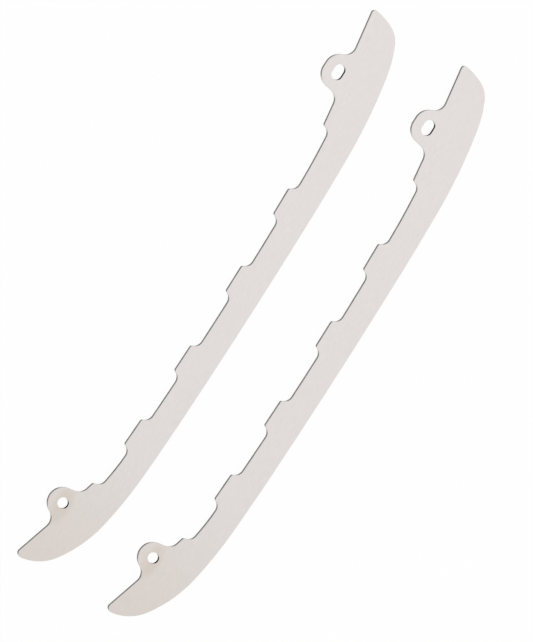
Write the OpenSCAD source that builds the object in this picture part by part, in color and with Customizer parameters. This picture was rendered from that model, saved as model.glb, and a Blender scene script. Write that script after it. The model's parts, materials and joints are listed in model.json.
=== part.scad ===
// A pair of hockey skate runners, one for each skate, lying side by side on their flats.
// X runs from toe to heel, Y from the ice edge to the holder edge and Z through the plate.
// The origin is under the middle of the pair. Each runner is one piece of steel plate.

/* [Plate] */
// Length between the end of the nose curve and the end of the tail curve
length = 280; // [250:1:310]
// Thickness of the steel
thickness = 3; // [2:0.1:4]

/* [Ice edge] */
// Radius of the middle stretch, which carries the skater
rocker_r = 3050; // [2400:50:4000]
// Radius of the stretch on either side of the middle
blend_r = 1100; // [700:10:1600]
// Length of the stretch on either side of the middle
blend_run = 30.5; // [20:0.5:36]
// Radius of the groove that is ground along the edge
hollow_r = 12.7; // [8:0.1:25]

/* [Toe curve] */
// Radius where the toe starts to rise
toe_r = 195; // [150:1:260]
// Length of that stretch
toe_run = 26.5; // [20:0.5:34]
// Radius of the steeper stretch ahead of it
toe_rise_r = 59; // [48:0.5:80]
// Length of the steeper stretch
toe_rise_run = 23; // [17:0.5:29]
// Radius of the nose
nose_r = 20; // [14:0.5:26]
// Slope at the end of the nose, in degrees
nose_deg = 79; // [65:1:85]
// Straight rise from the end of the nose to the corner of the tip
nose_rise = 4.1; // [2:0.1:7]
// Radius of the toe tip
toe_tip_r = 2; // [0.5:0.1:3]
// Slope of the edge from the toe tip down to the lug, in degrees
toe_edge_deg = 17; // [10:0.5:22]

/* [Heel curve] */
// Radius where the heel starts to rise
heel_r = 240; // [180:1:320]
// Length of that stretch
heel_run = 37.5; // [28:0.5:46]
// Radius of the steeper stretch behind it
heel_rise_r = 56; // [45:0.5:75]
// Length of the steeper stretch
heel_rise_run = 13; // [8:0.5:18]
// Radius of the tail
tail_r = 12.3; // [9:0.1:18]
// Slope where the tail flattens out, in degrees
tail_deg = 66; // [55:1:74]
// Radius of the upper tail
upper_tail_r = 30; // [20:0.5:45]
// Slope at the end of the upper tail, in degrees
upper_tail_deg = 83; // [76:1:86]
// Straight rise from the end of the upper tail to the corner of the tip
tail_rise = 1.9; // [1:0.1:4]
// Radius of the heel tip
heel_tip_r = 2.2; // [0.4:0.1:2.5]
// Slope of the edge from the heel tip down to the lug, in degrees
heel_edge_deg = 9; // [4:0.5:14]

/* [Holder seat] */
// Height of the seating line over the ice, at its lowest place
seat_h = 14.5; // [12:0.1:17]
// Place of the lowest point of the seating line, from mid-length
seat_x = -6.2; // [-15:0.1:5]
// Radius of the seating line in the middle
seat_r = 1850; // [1400:10:2600]
// Radius of the seating line at the toe
seat_toe_r = 88; // [70:1:140]
// Distance from the toe end to the start of that curve
seat_toe_in = 59.8; // [52:0.1:66]
// Radius of the seating line at the heel
seat_heel_r = 300; // [220:5:420]
// Distance from the heel end to the start of that curve
seat_heel_in = 78.2; // [68:0.1:88]

/* [Pads and recesses] */
// Length of the four middle pads along the seating line
pad_w = 12.9; // [9:0.1:15]
// Centre of the first middle pad, as a share of the way from the toe hole to the heel slot
first_pad_at = 0.191; // [0.17:0.001:0.21]
// Centre of the second middle pad, as a share of that way
second_pad_at = 0.365; // [0.33:0.001:0.4]
// Centre of the third middle pad, as a share of that way
third_pad_at = 0.55; // [0.51:0.001:0.59]
// Centre of the fourth middle pad, as a share of that way
fourth_pad_at = 0.727; // [0.69:0.001:0.75]
// Distance from the toe hole to the inner corner of the toe pad
toe_pad_in = 14.3; // [12:0.1:17]
// Distance from the heel slot to the inner corner of the heel pad
heel_pad_in = 22.6; // [14:0.1:26]
// Depth of the recesses between the pads
recess_depth = 3.25; // [1.5:0.05:5]
// Radius of the recesses' inner corners
recess_r = 4; // [1.5:0.1:5]

/* [Lugs] */
// Width of the bolt hole and of the bolt slot
hole_d = 5; // [3.5:0.1:7]
// Distance from the toe end to the hole
hole_in = 29.3; // [26:0.1:33]
// Height of the hole over the ice
hole_h = 24.85; // [22:0.05:27]
// Distance from the heel end to the middle of the slot
slot_in = 31.1; // [28:0.1:35]
// Height of the slot over the ice
slot_h = 25; // [22:0.05:28]
// Travel of a bolt along the slot
slot_travel = 2.25; // [0.5:0.05:4]
// Outer radius of the lugs round the hole and the slot
lug_r = 6.7; // [5:0.1:8]
// Lean of the lugs' inner flanks, in degrees
flank_deg = 10; // [2:0.5:15]
// Radius between a lug and the edge that runs out to the tip
outer_fillet_r = 5; // [3:0.1:7]
// Radius between a lug and the pad beside it
inner_fillet_r = 5; // [2:0.1:7]

/* [Pair] */
// Distance between the two runners, edge to like edge
pair_pitch = 46.5; // [38:0.1:80]
// How far the right runner lies towards the heel of the left one
pair_slide = 0.8; // [0:0.1:10]

/* [Hidden] */
$fn = 96;

// Steel that the grinding takes off the ice edge
grind_stock = 0.8;
// Overlap of one grinding pass and the next
pass_lap = 3;
// How much shallower each pass is than the one before it, so that none starts with a step
pass_ease = 0.001;
// Length over which the grinding runs out past the last ground stretch
run_out = 3;
// How far the grinding wheel stands past each face of the plate
wheel_side = 1;
// Longest step along the ground edge, in degrees
ground_step = 1;
// Longest step along the nose and the tail, in degrees
end_step = 3;
// Longest step round the lugs, in degrees
lug_step = 5;
// Longest step round the smaller corners, in degrees
corner_step = 7;
// Longest step along the floor of a recess, in millimetres
seat_step = 4;

half = length / 2;
hole_at = [half - hole_in, hole_h];
slot_at = [half - slot_in, slot_h];
height = max(hole_h, slot_h) + lug_r;
steel = "#DDD8D5";

// Helpers

function total(values, i = 0) = i < len(values) ? values[i] + total(values, i + 1) : 0;
function cosine(sine) = sqrt(1 - sine * sine);
function unit(v) = v / norm(v);
function angle_of(v) = atan2(v.y, v.x);
function flipped(points) = [for (p = points) [-p.x, p.y]];
function backwards(list) = [for (i = [len(list) - 1 : -1 : 0]) list[i]];
function inner(list) = [for (i = [1 : 1 : len(list) - 2]) list[i]];

// Values from a to b in equal steps no longer than step
function steps(a, b, step) =
    let (n = max(1, ceil(abs(b - a) / step)))
    [for (k = [0 : n]) a + (b - a) * k / n];

// Points on a circle, by the shorter way from one angle to the other
function arc(centre, r, from, to, step) =
    let (turn = (to - from + 540) % 360 - 180)
    [for (a = steps(from, from + turn, step)) centre + r * [cos(a), sin(a)]];

// Points that round the corner c between a and b. The sides' length limits the radius.
function rounded(a, c, b, r) =
    let (u = unit(a - c), v = unit(b - c))
    let (spread = acos(u * v) / 2)
    let (fit_r = min(r, min(norm(a - c), norm(b - c)) * tan(spread)))
    let (reach = fit_r / tan(spread), centre = c + unit(u + v) * fit_r / sin(spread))
    arc(centre, fit_r, angle_of(c + u * reach - centre), angle_of(c + v * reach - centre), corner_step);

// Ice edge: a chain of tangent arcs from the middle out to one end, where outward is +X.
// A ground arc is [radius, run], an arc of the end is [radius, slope at its end], and a link of the
// finished chain is [radius, sine of the slope at its end]. The sines add up along the chain.

toe_ground = [[blend_r, blend_run], [toe_r, toe_run], [toe_rise_r, toe_rise_run]];
heel_ground = [[blend_r, blend_run], [heel_r, heel_run], [heel_rise_r, heel_rise_run]];
toe_end = [[nose_r, nose_deg]];
heel_end = [[tail_r, tail_deg], [upper_tail_r, upper_tail_deg]];

function later_run(ends) =
    total([for (i = [1 : 1 : len(ends) - 1]) ends[i][0] * (sin(ends[i][1]) - sin(ends[i - 1][1]))]);

// The middle arc takes the run that the rest leaves. The first end arc starts at the slope which the
// ground arcs reach, so its run and the middle arc's run are solved together.
function rocker_run(ground, ends) =
    let (ground_run = total([for (g = ground) g[1]]))
    let (ground_sine = total([for (g = ground) g[1] / g[0]]))
    let (end_run = ends[0][0] * (sin(ends[0][1]) - ground_sine) + later_run(ends))
    (half - ground_run - end_run) / (1 - ends[0][0] / rocker_r);

function chain(ground, ends) =
    let (arcs = concat([[rocker_r, rocker_run(ground, ends)]], ground))
    concat(
        [for (i = [0 : len(arcs) - 1]) [arcs[i][0], total([for (k = [0 : i]) arcs[k][1] / arcs[k][0]])]],
        [for (e = ends) [e[0], sin(e[1])]]
    );

toe_chain = chain(toe_ground, toe_end);
heel_chain = chain(heel_ground, heel_end);
ground_links = len(toe_ground) + 1;

function slope_in(links, i) = i == 0 ? 0 : asin(links[i - 1][1]);
function slope_out(links, i) = asin(links[i][1]);

// Where link i starts
function link_start(links, i) =
    i == 0 ? [0, 0] : link_point(links, i - 1, slope_out(links, i - 1));

// Point of link i at a slope, moved out of the plate by stock
function link_point(links, i, slope, stock = 0) =
    let (from = slope_in(links, i), r = links[i][0])
    link_start(links, i)
        + r * [sin(slope) - sin(from), cos(from) - cos(slope)]
        + stock * [sin(slope), -cos(slope)];

// The ground stretch carries its stock. The end is cut to size, at the level of one more pass.
function edge_points(links) = concat(
    [for (i = [0 : ground_links - 1])
        for (s = steps(slope_in(links, i), slope_out(links, i), ground_step))
            link_point(links, i, s, grind_stock)],
    [for (i = [ground_links : len(links) - 1])
        for (s = steps(slope_in(links, i), slope_out(links, i), end_step))
            link_point(links, i, s, ground_links * pass_ease)]
);

// Seating line: three tangent arcs, of which the middle one is lowest at seat_x

seat_toe_x = seat_toe_in - half;
seat_heel_x = half - seat_heel_in;

function seat_sine(x) =
    let (middle = min(max(x, seat_toe_x), seat_heel_x))
    (middle - seat_x) / seat_r
        + max(x - seat_heel_x, 0) / seat_heel_r
        + min(x - seat_toe_x, 0) / seat_toe_r;

function arc_rise(r, from, to) = r * (cosine(from) - cosine(to));

function seat_y(x) =
    let (middle = min(max(x, seat_toe_x), seat_heel_x))
    let (end_r = x < middle ? seat_toe_r : seat_heel_r)
    seat_h + arc_rise(seat_r, 0, seat_sine(middle)) + arc_rise(end_r, seat_sine(middle), seat_sine(x));

function seat_point(x) = [x, seat_y(x)];
function seat_tangent(x) = [cosine(seat_sine(x)), seat_sine(x)];
function seat_normal(x) = [-seat_sine(x), cosine(seat_sine(x))];

// Pads: where the recesses start and stop, from toe to heel

hole_x = -hole_at.x;
slot_x = slot_at.x;
pad_at = [first_pad_at, second_pad_at, third_pad_at, fourth_pad_at];
pad_x = [for (share = pad_at) hole_x + share * (slot_x - hole_x)];
recess_from = concat([hole_x + toe_pad_in], [for (x = pad_x) x + pad_w / 2]);
recess_to = concat([for (x = pad_x) x - pad_w / 2], [slot_x - heel_pad_in]);

// A recess's corner of radius r curves from its floor up to the pad
function corner_lift(r) = acos(max(0, 1 - recess_depth / r));
function corner_run(r) = r * sin(corner_lift(r));

// Side of a recess, from the pad's corner at x down to the floor. The recess lies in the direction way.
function recess_side(x, way, r) =
    let (along = way * seat_tangent(x), up = seat_normal(x))
    let (centre = seat_point(x) + corner_run(r) * along + (r - recess_depth) * up)
    concat(
        recess_depth > r ? [seat_point(x)] : [],
        [for (a = steps(corner_lift(r), 0, corner_step)) centre - r * (cos(a) * up + sin(a) * along)]
    );

// Outline of a recess, from its heel side to its toe side. Its length limits the corners' radius.
function recess_points(from, to) =
    let (r = min(recess_r, (to - from) / 2))
    concat(
        recess_side(to, -1, r),
        [for (x = inner(steps(to - corner_run(r), from + corner_run(r), seat_step)))
            seat_point(x) - recess_depth * seat_normal(x)],
        backwards(recess_side(from, 1, r))
    );

function seat_points() =
    [for (i = [len(recess_to) - 1 : -1 : 0]) for (p = recess_points(recess_from[i], recess_to[i])) p];

// Lugs: here too outward is +X. The lug is round about its hole, or about the ends of its slot.

// Where the inner flank of the lug about c meets the seating line. A few rounds settle it.
function flank_foot(c, side, x, rounds = 5) =
    let (next = c.x - (lug_r - (seat_y(side * x) - c.y) * sin(flank_deg)) / cos(flank_deg))
    rounds == 0 ? [next, seat_y(side * next)] : flank_foot(c, side, next, rounds - 1);

// From the tip, along the upper edge, over the lug and down to the pad
function lug_points(links, rise, tip_r, edge_deg, at, travel, side, pad_corner) =
    let (tail = edge_points(links), last = tail[len(tail) - 1])
    let (lean = slope_out(links, len(links) - 1))
    let (tip = last + rise / sin(lean) * [cos(lean), sin(lean)])
    let (along = [cos(edge_deg), sin(edge_deg)], up = [-sin(edge_deg), cos(edge_deg)])
    let (outer = at + [travel / 2, 0], inside = at - [travel / 2, 0])
    let (lift = (outer - tip) * up)
    let (gap = sqrt((lug_r + outer_fillet_r) ^ 2 - (lift - outer_fillet_r) ^ 2))
    let (fillet = outer - lift * up + gap * along + outer_fillet_r * up)
    let (edge_end = fillet - outer_fillet_r * up)
    let (flank_top = inside + lug_r * [-cos(flank_deg), sin(flank_deg)])
    let (foot = flank_foot(inside, side, inside.x - lug_r))
    concat(
        rounded(last, tip, edge_end, tip_r),
        arc(fillet, outer_fillet_r, edge_deg - 90, angle_of(outer - fillet), corner_step),
        inner(arc(outer, lug_r, angle_of(fillet - outer), 90, lug_step)),
        arc(inside, lug_r, 90, 180 - flank_deg, lug_step),
        rounded(flank_top, foot, [side * pad_corner.x, pad_corner.y], inner_fillet_r)
    );

// Outline of the blank, once round from the middle of the ice edge by way of the heel

heel_points = concat(
    edge_points(heel_chain),
    lug_points(heel_chain, tail_rise, heel_tip_r, heel_edge_deg, slot_at, slot_travel, 1,
        seat_point(slot_x - heel_pad_in))
);
toe_points = concat(
    edge_points(toe_chain),
    lug_points(toe_chain, nose_rise, toe_tip_r, toe_edge_deg, hole_at, 0, -1,
        seat_point(hole_x + toe_pad_in))
);
outline = concat(heel_points, seat_points(), flipped(backwards(toe_points)));

// How far each end reaches, and the middle between them
toe_reach = max([for (p = toe_points) p.x]);
heel_reach = max([for (p = heel_points) p.x]);
middle_x = (heel_reach - toe_reach) / 2;

module profile() {
    difference() {
        polygon(outline);
        translate([hole_x, hole_h])
            circle(d = hole_d);
        translate(slot_at) {
            square([slot_travel, hole_d], center = true);
            for (way = [-1, 1])
                translate([way * slot_travel / 2, 0])
                    circle(d = hole_d);
        }
    }
}

// Grinding: a wheel with a crowned rim follows each ground arc and leaves the hollow between two edges

crown_out = sqrt(hollow_r ^ 2 - (thickness / 2) ^ 2);
crown_depth = hollow_r - crown_out;

// One pass of the wheel along an arc that starts level at the origin
module wheel_pass(r, turn) {
    translate([0, r, 0])
        rotate_extrude(angle = turn, start = 270)
            translate([r, 0])
                intersection() {
                    translate([crown_out, thickness / 2])
                        circle(hollow_r);
                    translate([-2 * crown_depth, -wheel_side])
                        square([2 * (crown_depth + grind_stock), thickness + 2 * wheel_side]);
                }
}

module grinding(links) {
    for (i = [0 : ground_links - 1]) {
        past = i == ground_links - 1 ? run_out : pass_lap;
        turn = slope_out(links, i) - slope_in(links, i);
        translate(link_start(links, i))
            rotate([0, 0, slope_in(links, i)])
                translate([0, -i * pass_ease, 0])
                    wheel_pass(links[i][0], turn + past / links[i][0] * 180 / PI);
    }
}

module runner() {
    difference() {
        linear_extrude(thickness)
            profile();
        grinding(heel_chain);
        mirror([1, 0, 0])
            grinding(toe_chain);
    }
}

// One runner of the pair, on the side of +Y or of -Y
module placed_runner(side) {
    translate([-side * pair_slide / 2 - middle_x, side * pair_pitch / 2 - height / 2, 0])
        runner();
}

module left_runner() {
    color(steel)
        placed_runner(1);
}

module right_runner() {
    color(steel)
        placed_runner(-1);
}

left_runner();
right_runner();
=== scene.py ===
import json
import math
import bpy
import numpy as np
from mathutils import Matrix, Vector
from mathutils.geometry import delaunay_2d_cdt


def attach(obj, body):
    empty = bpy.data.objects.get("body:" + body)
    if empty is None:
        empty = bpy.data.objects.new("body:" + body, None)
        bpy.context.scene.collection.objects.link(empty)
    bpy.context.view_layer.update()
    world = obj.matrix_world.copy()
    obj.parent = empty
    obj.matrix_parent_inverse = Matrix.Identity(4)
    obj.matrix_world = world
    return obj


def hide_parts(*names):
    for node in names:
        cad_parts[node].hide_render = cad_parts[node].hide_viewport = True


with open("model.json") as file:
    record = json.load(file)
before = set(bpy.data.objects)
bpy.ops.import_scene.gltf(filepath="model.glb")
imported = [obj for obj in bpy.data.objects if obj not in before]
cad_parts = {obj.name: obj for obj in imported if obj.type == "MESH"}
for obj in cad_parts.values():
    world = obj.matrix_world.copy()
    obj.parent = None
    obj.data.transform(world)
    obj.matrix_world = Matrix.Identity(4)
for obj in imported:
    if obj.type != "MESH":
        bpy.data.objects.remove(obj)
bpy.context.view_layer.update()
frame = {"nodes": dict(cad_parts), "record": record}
mountAt = {m["name"]: np.array(m["pos_m"]) for m in frame["record"]["mounts"]}
print("frame loaded:", ", ".join(sorted(frame["nodes"])))


# camera: looks down on the plates, leaning towards their holder edges, as in the photograph
camera = {
    "lens": 800.0,                     # mm, long, so that both runners show at one size
    "sensor": 36.0,                    # mm along the picture's longer side
    "lean": 12.5,                      # degrees off straight down
    "turn": 32.617,                    # degrees from the picture's upright to the runners' length
    "spanHigh": 0.27606,               # metres that fit in the picture's height
    "aim": (0.00194, 0.00006, 0.003),  # point in the middle of the picture
    "clipFar": 4.0,                    # how far it sees, in distances to that point
}


def placeCamera(wish):
    lean, turn = math.radians(wish["lean"]), math.radians(wish["turn"])
    away = Vector((0.0, math.sin(lean), math.cos(lean)))
    across = Vector((0.0, math.cos(lean), -math.sin(lean)))
    along = Vector((1.0, 0.0, 0.0))
    up = along * math.cos(turn) + across * math.sin(turn)
    right = along * math.sin(turn) - across * math.cos(turn)
    distance = wish["lens"] * wish["spanHigh"] / wish["sensor"]
    data = bpy.data.cameras.new("photoCamera")
    data.lens, data.sensor_width = wish["lens"], wish["sensor"]
    data.clip_end = wish["clipFar"] * distance
    eye = bpy.data.objects.new("photoCamera", data)
    turned = Matrix((right, up, away)).transposed().to_4x4()
    eye.matrix_world = Matrix.Translation(Vector(wish["aim"]) + away * distance) @ turned
    bpy.context.scene.collection.objects.link(eye)
    bpy.context.scene.camera = eye


placeCamera(camera)
print("camera placed")


# Wire holds one socket of a node tree; sums on wires add Math nodes, node() adds any other kind
class Wire:
    def __init__(self, tree, socket=None):
        self.tree, self.socket = tree, socket

    # kind of node, its settings, then the values or wires of its sockets; gives one output
    def node(self, kind, settings=None, sockets=None, out=0):
        made = self.tree.nodes.new(kind)
        for name, value in (settings or {}).items():
            if name == "stops":
                for spot, (place, colour) in zip(self.stopsOf(made, len(value)), value):
                    spot.position, spot.color = place, (*colour, 1.0)
            else:
                setattr(made, name, value)
        for name, value in (sockets or {}).items():
            socket = made.inputs[name]
            if isinstance(value, Wire):
                self.tree.links.new(value.socket, socket)
            else:
                socket.default_value = (*value, 1.0) if socket.type == "RGBA" else value
        return Wire(self.tree, made.outputs[out] if made.outputs else None)

    def stopsOf(self, ramp, count):
        spots = ramp.color_ramp.elements
        while len(spots) < count:
            spots.new(1.0)
        return spots

    def sum(self, operation, first, second):
        return self.node("ShaderNodeMath", {"operation": operation}, {0: first, 1: second})

    def __add__(self, other):
        return self.sum("ADD", self, other)

    def __sub__(self, other):
        return self.sum("SUBTRACT", self, other)

    def __rsub__(self, other):
        return self.sum("SUBTRACT", other, self)

    def __mul__(self, other):
        return self.sum("MULTIPLY", self, other)

    __radd__ = __add__
    __rmul__ = __mul__

    # eases from 0 at the first value to 1 at the last
    def ease(self, first, last):
        return self.node("ShaderNodeMapRange", {"interpolation_type": "SMOOTHSTEP"},
                         {"Value": self, "From Min": first, "From Max": last})

    # cycles per metre along the three axes
    def noise(self, cycles, detail=2.0):
        spread = self.node("ShaderNodeMapping", {"vector_type": "POINT"},
                           {"Vector": self, "Scale": cycles})
        return self.node("ShaderNodeTexNoise", {"noise_dimensions": "3D"},
                         {"Vector": spread, "Scale": 1.0, "Detail": detail})

    # a noise lies about one half; this moves it to lie about another value
    def about(self, middle, swing):
        return (self - 0.5) * swing + middle

    def ramp(self, places, *colours):
        return self.node("ShaderNodeValToRGB", {"stops": list(zip(places, colours))}, {"Fac": self})

    def blend(self, first, second):
        return self.node("ShaderNodeMix", {"data_type": "RGBA"},
                         {0: self, 6: first, 7: second}, out=2)

    def tint(self, colour):
        return self.node("ShaderNodeMix", {"data_type": "RGBA", "blend_type": "MULTIPLY"},
                         {0: 1.0, 6: self, 7: colour}, out=2)

    def mixShader(self, first, second):
        return self.node("ShaderNodeMixShader", None, {0: self, 1: first, 2: second})


def newMaterial(name):
    material = bpy.data.materials.new(name)
    material.use_nodes = True
    material.node_tree.nodes.clear()
    return material, Wire(material.node_tree)


def showSurface(start, shader):
    start.node("ShaderNodeOutputMaterial", None, {"Surface": shader})


# bare metal; a dark grazing tint darkens it where it is seen along its face
def metal(start, colour, roughness, relief, grazing=(1.0, 1.0, 1.0)):
    return start.node("ShaderNodeBsdfPrincipled", None,
                      {"Base Color": colour, "Metallic": 1.0, "Roughness": roughness,
                       "Specular Tint": grazing, "Normal": relief})


def grooves(start, look, marks):
    return start.node("ShaderNodeBump", None,
                      {"Strength": look["reliefStrength"], "Distance": look["relief"],
                       "Height": marks})


satinLook = {
    "steel": (0.857, 0.811, 0.790),
    "toeSteel": (0.811, 0.751, 0.707),    # the steel is a little warmer towards the toe
    "toeFrom": 0.040,                     # metres past the toe hole where the warmth begins
    "toeFull": -0.030,                    # and where it is full
    "toeSwing": 0.5,                      # how much the mottling varies it
    "beigeTint": (0.777, 0.710, 0.640),       # faint beige tint across the toe lug
    "beigeTintAt": (-0.0012, -0.0002),        # its middle, metres from the toe hole
    "beigeTintSpan": (0.0105, 0.0047),        # its half length and half width
    "beigeTintEnd": 1.1,                      # where it ends, as a squared share of those
    "beigeTintSwing": 0.9,                    # how much the mottling moves its edge
    "beigeTintWeight": 0.95,
    "streak": (35.0, 2200.0, 2200.0),     # grain cycles per metre, drawn out along the length
    "hairline": (240.0, 16000.0, 16000.0),
    "mottle": (60.0, 90.0, 90.0),
    "grainShares": (0.08, 0.82, 0.10),    # of the streaks, hairlines and mottling in the grain
    "grainRange": (0.3, 0.7),             # values of the grain in its valleys and on its crests
    "valley": (0.82, 0.82, 0.82),         # share of the steel's colour in the valleys
    "crest": (1.0, 1.0, 1.0),             # and on the crests
    "roughness": 0.34,
    "roughSwing": 0.10,
    "relief": 0.000004,                   # depth of the grain, metres
    "reliefStrength": 0.25,
}


# satin flats: fine grain along the length, soft mottling, and a warmer toe with a faint beige patch
def satinSteel(look):
    material, start = newMaterial("satinSteel")
    place = start.node("ShaderNodeTexCoord", out="Object")
    plate = start.node("ShaderNodeUVMap", {"uv_map": "plateMap"})
    plateX = start.node("ShaderNodeSeparateXYZ", None, {0: plate}, out="X")
    plateY = start.node("ShaderNodeSeparateXYZ", None, {0: plate}, out="Y")
    streak = place.noise(look["streak"], detail=3.0)
    hairline = place.noise(look["hairline"])
    mottle = place.noise(look["mottle"], detail=3.0)
    warmth = plateX.ease(look["toeFrom"], look["toeFull"]) * mottle.about(1.0, look["toeSwing"])
    tone = warmth.blend(look["steel"], look["toeSteel"])
    offX = (plateX - look["beigeTintAt"][0]) * (1 / look["beigeTintSpan"][0])
    offY = (plateY - look["beigeTintAt"][1]) * (1 / look["beigeTintSpan"][1])
    spread = mottle.about(offX * offX + offY * offY, look["beigeTintSwing"])
    beigeTint = spread.ease(look["beigeTintEnd"], 0.0) * look["beigeTintWeight"]
    tone = beigeTint.blend(tone, look["beigeTint"])
    ofStreak, ofHairline, ofMottle = look["grainShares"]
    grain = streak * ofStreak + hairline * ofHairline + mottle * ofMottle
    steel = tone.tint(grain.ramp(look["grainRange"], look["valley"], look["crest"]))
    roughness = mottle.about(hairline.about(look["roughness"], look["roughSwing"]), look["roughSwing"])
    showSurface(start, metal(start, steel, roughness, grooves(start, look, hairline + streak)))
    return material


cutLook = {
    "scale": (0.260, 0.250, 0.244),       # dull scale left by the cut
    "bare": (0.460, 0.444, 0.434),        # steel that shows between its lines
    "grazing": (0.34, 0.34, 0.34),        # the rough wall darkens when it is seen along its face
    "litWallScale": (0.540, 0.522, 0.512),    # painted highlight: walls that face along the length get this lighter colour, standing in for brighter light from the toe and heel ends
    "litWallBare": (0.740, 0.716, 0.702),
    "litWallGrazing": (0.92, 0.92, 0.92),
    "litWallFrom": 0.48,                      # share of X in a wall's facing where the painted highlight begins
    "litWallFull": 0.88,                      # and where it is full
    "lines": (5200.0, 260.0, 1.0),        # cycles per metre round the outline and down the wall
    "patches": (240.0, 500.0, 1.0),
    "lineShare": 0.6,                     # of the lines in the marks; the rest is patches
    "markRange": (0.35, 0.65),            # values of the marks that are scale and bare steel
    "roughness": 0.46,
    "roughSwing": 0.2,
    "relief": 0.00003,
    "reliefStrength": 0.5,
}


# cut walls: dull dark steel with the fine upright lines that the cutting leaves; the walls that
# face along the length get a painted highlight, a lighter colour for light from the toe and heel ends
def cutShader(start, look):
    wall = start.node("ShaderNodeUVMap", {"uv_map": "edgeMap"})
    facing = start.node("ShaderNodeAttribute", {"attribute_name": "facing"}, out="Fac")
    lines = wall.noise(look["lines"], detail=3.0)
    patches = wall.noise(look["patches"])
    marks = lines * look["lineShare"] + patches * (1 - look["lineShare"])
    roughness = patches.about(look["roughness"], look["roughSwing"])
    relief = grooves(start, look, lines)
    dullColour = marks.ramp(look["markRange"], look["scale"], look["bare"])
    # painted highlight: a lighter copy of the marks' colours for the walls that face the toe and heel
    # ends
    litWallColour = marks.ramp(look["markRange"], look["litWallScale"], look["litWallBare"])
    dull = metal(start, dullColour, roughness, relief, look["grazing"])
    litWall = metal(start, litWallColour, roughness, relief, look["litWallGrazing"])
    return facing.ease(look["litWallFrom"], look["litWallFull"]).mixShader(dull, litWall)


def cutSteel(look):
    material, start = newMaterial("cutSteel")
    showSurface(start, cutShader(start, look))
    return material


groundLook = {
    "bright": (0.700, 0.684, 0.674),
    "dull": (0.340, 0.330, 0.323),
    "lines": (70.0, 16000.0, 1.0),        # wheel marks run along the edge
    "bands": (18.0, 2600.0, 1.0),         # and so do the broader bands between dressings
    "lineShare": 0.5,                     # of the lines in the marks; the rest is bands
    "markRange": (0.38, 0.62),            # values of the marks that are dull and bright
    "fade": 0.08,                         # share of its full depth in which a cut turns bright
    "roughness": 0.24,
    "roughSwing": 0.2,
    "relief": 0.000005,
    "reliefStrength": 0.4,
}


# ground hollow: bright steel with the wheel's lengthwise marks, and the plain wall where it lifts
def groundSteel(look, plainLook):
    material, start = newMaterial("groundSteel")
    wall = start.node("ShaderNodeUVMap", {"uv_map": "edgeMap"})
    wheel = start.node("ShaderNodeAttribute", {"attribute_name": "wheel"}, out="Fac")
    lines = wall.noise(look["lines"], detail=3.0)
    bands = wall.noise(look["bands"], detail=3.0)
    marks = lines * look["lineShare"] + bands * (1 - look["lineShare"])
    colour = marks.ramp(look["markRange"], look["dull"], look["bright"])
    roughness = lines.about(look["roughness"], look["roughSwing"])
    ground = metal(start, colour, roughness, grooves(start, look, lines))
    # the plain wall carries the cut walls' painted highlight where it faces along the length
    plain = cutShader(start, plainLook)
    showSurface(start, wheel.ease(0.0, look["fade"]).mixShader(plain, ground))
    return material


boreLook = {
    # painted shade: these colours are far darker than the cut walls' and stand in for the shade inside
    # the holes
    "dark": (0.060, 0.057, 0.055),
    "bare": (0.150, 0.144, 0.140),
    "grazing": (0.01, 0.01, 0.01),
    "litBore": (0.660, 0.640, 0.628),        # painted highlight: the ends that face along the length get this lighter colour, standing in for brighter light from the toe and heel ends
    "litBoreGrazing": (0.85, 0.85, 0.85),
    "litBoreFrom": 0.50,                     # share of X in a wall's facing where the painted highlight begins
    "litBoreFull": 0.86,                     # and where it is full
    "rings": (120.0, 9000.0, 1.0),        # tool marks run round the hole
    "markRange": (0.35, 0.65),            # values of the marks that are darkest and brightest
    "roughness": 0.40,
    "roughSwing": 0.2,
    "relief": 0.000015,
    "reliefStrength": 0.4,
}


# walls of the hole and the slot: machined steel with marks that run round, painted darker than the cut
# walls as shade inside the holes, with a painted highlight at the ends
def boreSteel(look):
    material, start = newMaterial("boreSteel")
    wall = start.node("ShaderNodeUVMap", {"uv_map": "edgeMap"})
    facing = start.node("ShaderNodeAttribute", {"attribute_name": "facing"}, out="Fac")
    rings = wall.noise(look["rings"], detail=3.0)
    roughness = rings.about(look["roughness"], look["roughSwing"])
    relief = grooves(start, look, rings)
    darkColour = rings.ramp(look["markRange"], look["dark"], look["bare"])
    # painted highlight: a lighter copy of the ring colours for the ends that face along the length
    litBoreColour = rings.ramp(look["markRange"], look["bare"], look["litBore"])
    dark = metal(start, darkColour, roughness, relief, look["grazing"])
    litBore = metal(start, litBoreColour, roughness, relief, look["litBoreGrazing"])
    showSurface(start, facing.ease(look["litBoreFrom"], look["litBoreFull"]).mixShader(dark, litBore))
    return material


finishes = [satinSteel(satinLook), cutSteel(cutLook), groundSteel(groundLook, cutLook),
            boreSteel(boreLook)]
satinSlot, cutSlot, groundSlot, boreSlot = range(len(finishes))
print("finishes made:", ", ".join(m.name for m in finishes))


# runner: the outlines come from the CAD plate, and an edge section is carried round each of them
runner = {
    "edgeBreak": 0.00012,     # radius of the tumbled edges, metres
    "holeBreak": 0.00005,     # the holes' edges are crisper
    "iceBreak": 0.00002,      # the ground edges are left keen
    "padCorner": 0.00090,     # how far to each side of its point a pad's corner is rounded
    "sharpTurn": 30.0,        # degrees of turn that count as a corner
    "hollowRadius": 0.0127,   # radius of the hollow across the ice edge
    "runOut": 0.003,          # length in which the hollow fades at each end
    "step": 0.0005,           # longest step along an outline
    "roundRows": 5,           # facets round a broken edge
    "wallRows": 10,           # facets down a wall
    "cornerRows": 10,         # facets round a pad's corner
    "fillStep": 0.0025,       # spacing of the points inside the flat faces
    "fillClear": 0.6,         # share of it that they keep from the outlines
    "weld": 1e-7,             # corners of the CAD mesh closer than this are one
    "merge": 1e-9,            # and so are points of the flat faces closer than this
    "halfway": 0.4,           # share of the thickness, off the middle, that counts as halfway down
}


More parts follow.
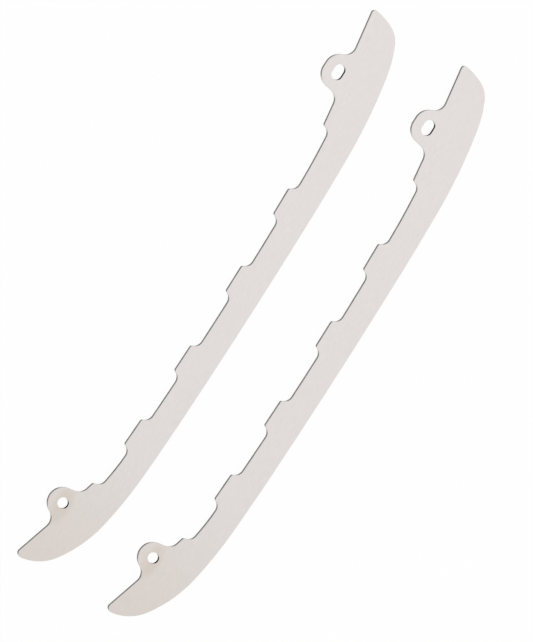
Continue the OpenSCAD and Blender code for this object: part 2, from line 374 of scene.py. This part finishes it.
# each pass doubles the walk: it jumps as far ahead as the walk is already long
def walkRound(following, first):
    walk, jump = np.array([first]), following
    while first not in walk[1:]:
        walk = np.concatenate([walk, jump[walk]])
        jump = jump[jump]
    return walk[:1 + np.argmax(walk[1:] == first)]


# outlines of the plate's upper face, with the metal on their left and the longest first, and the
# corners halfway down its walls, which only the hollow has: an edge of a triangle in the top plane
# is on an outline if no other runs back along it
def readPlate(node):
    mesh = node.data
    mesh.calc_loop_triangles()
    place = np.empty(len(mesh.vertices) * 3, np.float32)
    mesh.vertices.foreach_get("co", place)
    corner = np.empty(len(mesh.loop_triangles) * 3, np.int32)
    mesh.loop_triangles.foreach_get("vertices", corner)
    points, same = np.unique(np.round(place.reshape(-1, 3) / runner["weld"]), axis=0,
                             return_inverse=True)
    points, faces = points * runner["weld"], same.ravel()[corner].reshape(-1, 3)
    thick = points[:, 2].max()
    top = faces[(points[faces, 2] > thick - 2 * runner["weld"]).all(1)]
    edges = np.concatenate([top[:, [0, 1]], top[:, [1, 2]], top[:, [2, 0]]])
    ahead = edges[:, 0] * len(points) + edges[:, 1]
    back = edges[:, 1] * len(points) + edges[:, 0]
    rim = edges[~np.isin(ahead, back)]
    following = np.arange(len(points))
    following[rim[:, 0]] = rim[:, 1]
    loops, waiting = [], rim[:, 0]
    while len(waiting):
        walk = walkRound(following, waiting[0])
        waiting = np.setdiff1d(waiting, walk)
        loops.append(points[walk, :2])
    loops.sort(key=len, reverse=True)
    halfway = np.abs(points[:, 2] - thick / 2) < runner["halfway"] * thick
    return loops, points[halfway, :2], thick


# an outline from its highest point on, with sharp corners rounded and long steps split evenly: a
# corner's curve is a parabola that leaves the outline before the corner, heading for it, and comes
# back to the outline as far after it
def smoothPath(loop):
    loop = np.roll(loop, -np.argmax(loop[:, 1]), axis=0)
    ahead = np.roll(loop, -1, 0) - loop
    length = np.hypot(*ahead.T)
    along = np.cumsum(length) - length
    ahead /= length[:, None]
    behind = np.roll(ahead, 1, 0)
    turn = np.arccos(np.clip((ahead * behind).sum(1), -1, 1))
    sharp = np.nonzero(turn > math.radians(runner["sharpTurn"]))[0]
    plain = (np.abs(along[:, None] - along[sharp]) > runner["padCorner"]).all(1)
    t = np.linspace(0, 1, runner["cornerRows"] + 1)[:, None]
    spread = along[sharp, None] + (2 * t.T - 1) * runner["padCorner"]
    ends = np.stack([np.interp(spread[:, [0, -1]], along, part) for part in loop.T], 2)
    curve = (1 - t) ** 2 * ends[:, :1] + 2 * t * (1 - t) * loop[sharp, None] + t ** 2 * ends[:, 1:]
    order = np.argsort(np.concatenate([along[plain], spread.ravel()]))
    loop = np.concatenate([loop[plain], curve.reshape(-1, 2)])[order]
    chord = np.roll(loop, -1, 0) - loop
    parts = np.ceil(np.hypot(*chord.T) / runner["step"]).astype(int)
    owner = np.repeat(np.arange(len(loop)), parts)
    share = (np.arange(parts.sum()) - np.repeat(np.cumsum(parts) - parts, parts)) / parts[owner]
    return loop[owner] + share[:, None] * chord[owner]


# outward normal: to the right of the mean of the steps before and after a point
def outwardOf(path):
    step = np.roll(path, -1, 0) - path
    step /= np.hypot(*step.T)[:, None]
    mean = step + np.roll(step, 1, 0)
    mean /= np.hypot(*mean.T)[:, None]
    return np.stack([mean[:, 1], -mean[:, 0]], 1)


# 1 along the ground edge, easing to 0 in the run-out at each end
def groundShare(path, along, halfway):
    if not len(halfway):
        return np.zeros(len(path))
    gap = np.hypot(*(path[:, None] - halfway[None]).transpose(2, 0, 1))
    nearest = along[gap.argmin(0)]
    inside = np.minimum(along - nearest.min(), nearest.max() - along) / runner["runOut"]
    inside = np.clip(inside, 0, 1)
    return inside * inside * (3 - 2 * inside)


# edge section, carried round an outline: a quarter round, the wall and a quarter round, all sunk by
# the hollow, an arc across the edge that starts and ends at the two faces; where the wheel lifts by
# a share of the arc's depth, the cut gets shallower and narrower; also gives the cut over that depth
def edgeRows(path, plainBreak, ground, thick):
    radius = plainBreak + (runner["iceBreak"] - plainBreak) * ground
    angle = np.linspace(0, math.pi / 2, runner["roundRows"] + 1)[:, None]
    inset, drop = (1 - np.sin(angle)) * radius, (1 - np.cos(angle)) * radius
    share = np.linspace(0, 1, runner["wallRows"] + 1)[1:-1, None]
    wall = thick - radius - share * (thick - 2 * radius)
    height = np.concatenate([thick - drop, wall, drop[::-1]])
    inward = np.concatenate([inset, np.zeros_like(wall), inset[::-1]])
    reach = runner["hollowRadius"]
    atFaces = math.sqrt(reach ** 2 - thick ** 2 / 4)
    sunk = np.sqrt(reach ** 2 - (height - thick / 2) ** 2) - atFaces
    deepest = reach - atFaces
    cut = sunk - (1 - ground) * deepest
    place = path - outwardOf(path) * (inward + np.maximum(cut, 0))[..., None]
    return np.concatenate([place, height[..., None]], 2), np.where(ground < 1, cut / deepest, 1)


# one outline's wall as a grid of points: its faces, counted from the first point's number, their
# finishes, the wall unrolled, and for each point how far it faces along X and how deep it is ground
def buildWall(loop, halfway, thick, isHole, first):
    path = smoothPath(loop)
    steps = np.hypot(*(np.roll(path, -1, 0) - path).T)
    along = np.cumsum(steps) - steps
    ground = groundShare(path, along, halfway[:0] if isHole else halfway)
    rows, cut = edgeRows(path, runner["holeBreak" if isHole else "edgeBreak"], ground, thick)
    high, wide = rows.shape[:2]
    k, i = np.mgrid[:high - 1, :wide]
    j = (i + 1) % wide
    corners = np.stack([k * wide + i, (k + 1) * wide + i, (k + 1) * wide + j, k * wide + j], 2)
    ends = np.stack([along[i], along[i], along[i] + steps[i], along[i] + steps[i]], 2)
    levels = rows[..., 2].ravel()[corners]
    onRound = np.minimum(k, high - 2 - k) < runner["roundRows"]
    share = np.minimum(ground[i], ground[j])
    wallSlots = np.where(share > 0, groundSlot, boreSlot if isHole else cutSlot)
    return {
        "points": rows.reshape(-1, 3),
        "faces": first + corners.reshape(-1, 4),
        "slots": np.where(onRound & (share < 1), satinSlot, wallSlots).ravel(),
        "unrolled": np.stack([ends, levels], 3).reshape(-1, 2),
        "facing": np.tile(np.abs(outwardOf(path)[:, 0]), high),
        "wheel": cut.ravel(),
        "topRing": first + np.arange(wide),
        "lowRing": first + (high - 1) * wide + np.arange(wide),
    }


# points of a triangular grid that lie inside the outlines, clear of them: a line drawn from an
# inner point along +X crosses the outlines an odd number of times
def fillPoints(rings):
    low, high = rings[0].min(0), rings[0].max(0)
    step = runner["fillStep"]
    rowStep = step * math.sqrt(0.75)
    x, y = np.meshgrid(np.arange(low[0], high[0], step), np.arange(low[1], high[1], rowStep))
    x[1::2] += step / 2
    grid = np.stack([x.ravel(), y.ravel()], 1)
    crossings = np.zeros(len(grid), int)
    near = np.full(len(grid), np.inf)
    for ring in rings:
        first, last = ring, np.roll(ring, -1, 0)
        straddles = (first[:, 1] > grid[:, 1, None]) != (last[:, 1] > grid[:, 1, None])
        rise = np.where(first[:, 1] == last[:, 1], 1.0, last[:, 1] - first[:, 1])
        at = first[:, 0] + (grid[:, 1, None] - first[:, 1]) / rise * (last - first)[:, 0]
        crossings += (straddles & (at > grid[:, 0, None])).sum(1)
        near = np.minimum(near, np.hypot(*(grid[:, None] - ring).transpose(2, 0, 1)).min(1))
    return grid[(crossings % 2 == 1) & (near > runner["fillClear"] * step)]


# triangles that fill the flat face between the rings and the points inside it; those with all
# three corners on one hole's ring lie in the hole and are left out
def fillFlat(rings, inner):
    sizes = [len(r) for r in rings]
    starts = np.cumsum([0] + sizes[:-1])
    edges = [np.stack([s + np.arange(n), s + (np.arange(n) + 1) % n], 1)
             for s, n in zip(starts, sizes)]
    flat = np.concatenate([*rings, inner])
    insideOnly = 1  # kind of output: triangles inside the outlines
    spots, _, faces, *_ = delaunay_2d_cdt(flat.tolist(), np.concatenate(edges).tolist(), [],
                                          insideOnly, runner["merge"])
    assert len(spots) == len(flat), "the flat face's outlines cross or touch"
    faces = np.array(faces)
    owner = np.repeat(np.arange(len(rings) + 1), [*sizes, len(inner)])[faces]
    inHole = (owner > 0) & (owner < len(rings)) & (owner == owner[:, :1])
    return faces[~inHole.all(1)]


def joined(walls, key, *more):
    return np.concatenate([*[w[key] for w in walls], *more])


# the walls' four-sided faces come first, then the flats' triangles; plateMap is measured from the
# toe hole, edgeMap is the walls unrolled, and both marks are 0 at the points inside the flats
def makePiece(name, points, walls, flats, toeHole):
    quads = joined(walls, "faces")
    slots = joined(walls, "slots", np.full(len(flats), satinSlot))
    mesh = bpy.data.meshes.new(name)
    mesh.from_pydata(points.tolist(), [], quads.tolist() + flats.tolist())
    mesh.polygons.foreach_set("material_index", slots.astype(np.int32))
    mesh.polygons.foreach_set("use_smooth", np.arange(len(slots)) < len(quads))
    corner = np.concatenate([quads.ravel(), flats.ravel()])
    plate = points[corner, :2] - toeHole[:2]
    edge = joined(walls, "unrolled", np.zeros((flats.size, 2)))
    for mapName, values in (("plateMap", plate), ("edgeMap", edge)):
        layer = mesh.uv_layers.new(name=mapName)
        layer.data.foreach_set("uv", values.astype(np.float32).ravel())
    for mark in ("facing", "wheel"):
        onWalls = joined(walls, mark)
        values = np.concatenate([onWalls, np.zeros(len(points) - len(onWalls))]).astype(np.float32)
        mesh.attributes.new(mark, "FLOAT", "POINT").data.foreach_set("value", values)
    for finish in finishes:
        mesh.materials.append(finish)
    mesh.update()
    piece = bpy.data.objects.new(name, mesh)
    bpy.context.scene.collection.objects.link(piece)
    print(name, "made:", len(points), "points,", len(slots), "faces")
    return piece


# a wall round each outline, and the same triangles for both flats, turned over for the lower one
def buildRunner(name, nodeName, toeHole):
    loops, halfway, thick = readPlate(frame["nodes"][nodeName])
    walls, count = [], 0
    for number, loop in enumerate(loops):
        walls.append(buildWall(loop, halfway, thick, number > 0, count))
        count += len(walls[-1]["points"])
    wallPoints = joined(walls, "points")
    rings = [wallPoints[w["topRing"], :2] for w in walls]
    inner = fillPoints(rings)
    faces = fillFlat(rings, inner)
    topSpots = joined(walls, "topRing", count + np.arange(len(inner)))
    lowSpots = joined(walls, "lowRing", count + len(inner) + np.arange(len(inner)))
    flats = np.concatenate([topSpots[faces], lowSpots[faces[:, ::-1]]])
    level = np.repeat([[thick], [0.0]], len(inner), axis=0)
    flatPoints = np.concatenate([np.tile(inner, (2, 1)), level], 1)
    piece = makePiece(name, np.concatenate([wallPoints, flatPoints]), walls, flats, toeHole)
    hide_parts(nodeName)
    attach(piece, "root")


buildRunner("leftRunner", "left_runner", mountAt["left_toe_hole"])
buildRunner("rightRunner", "right_runner", mountAt["right_toe_hole"])


# studio: a white floor that keeps a faint shadow, an even pale surround and one soft overhead lamp
studio = {
    "floorSize": 30.0,
    "floorDrop": 0.00005,           # metres below the plates
    "floorColour": (0.94, 0.94, 0.94),
    "whiteShare": 0.96,             # how much of the floor shows as plain white
    "horizon": (0.62, 0.62, 0.62),
    "middle": (0.80, 0.80, 0.80),
    "overhead": (0.93, 0.93, 0.93),
    "skyLevels": (0.0, 0.45, 1.0),  # upward share of the direction where each of the three lies
    "ends": (1.0, 1.0, 1.0),        # bright walls off the toe and heel ends
    "endsFrom": 0.25,               # squared share of X in the direction where they begin
    "endsFull": 0.70,               # and where they are full
    "lampAt": (0.22, -0.05, 0.75),
    "lampSize": 0.6,
    "lampPower": 0.12,              # watts
}


def buildFloor(wish):
    corners = np.array([[-1, -1], [1, -1], [1, 1], [-1, 1]]) * wish["floorSize"] / 2
    mesh = bpy.data.meshes.new("floor")
    mesh.from_pydata([(*c, -wish["floorDrop"]) for c in corners], [], [(0, 1, 2, 3)])
    floor = bpy.data.objects.new("floor", mesh)
    bpy.context.scene.collection.objects.link(floor)
    material, start = newMaterial("floorWhite")
    seen = start.node("ShaderNodeLightPath", out="Is Camera Ray")
    gloss = start.node("ShaderNodeLightPath", out="Is Glossy Ray")
    through = start.node("ShaderNodeLightPath", out="Is Transmission Ray")
    paint = start.node("ShaderNodeBsdfDiffuse", None, {"Color": wish["floorColour"]})
    white = start.node("ShaderNodeEmission", None, {"Strength": 1.0})
    showSurface(start, ((seen + gloss + through) * wish["whiteShare"]).mixShader(paint, white))
    mesh.materials.append(material)


def buildSurround(wish):
    world = bpy.data.worlds.new("surround")
    world.use_nodes = True
    world.node_tree.nodes.clear()
    start = Wire(world.node_tree)
    way = start.node("ShaderNodeTexCoord", out="Generated")
    rise = start.node("ShaderNodeSeparateXYZ", None, {0: way}, out="Z")
    side = start.node("ShaderNodeSeparateXYZ", None, {0: way}, out="X")
    sky = rise.ramp(wish["skyLevels"], wish["horizon"], wish["middle"], wish["overhead"])
    sky = (side * side).ease(wish["endsFrom"], wish["endsFull"]).blend(sky, wish["ends"])
    light = start.node("ShaderNodeBackground", None, {"Color": sky, "Strength": 1.0})
    start.node("ShaderNodeOutputWorld", None, {"Surface": light})
    bpy.context.scene.world = world


def placeLamp(wish):
    data = bpy.data.lights.new("softbox", "AREA")
    data.shape, data.size, data.energy = "SQUARE", wish["lampSize"], wish["lampPower"]
    lamp = bpy.data.objects.new("softbox", data)
    lamp.location = wish["lampAt"]
    bpy.context.scene.collection.objects.link(lamp)


buildFloor(studio)
buildSurround(studio)
placeLamp(studio)
bpy.context.scene.view_settings.view_transform = "Standard"
print("studio made")
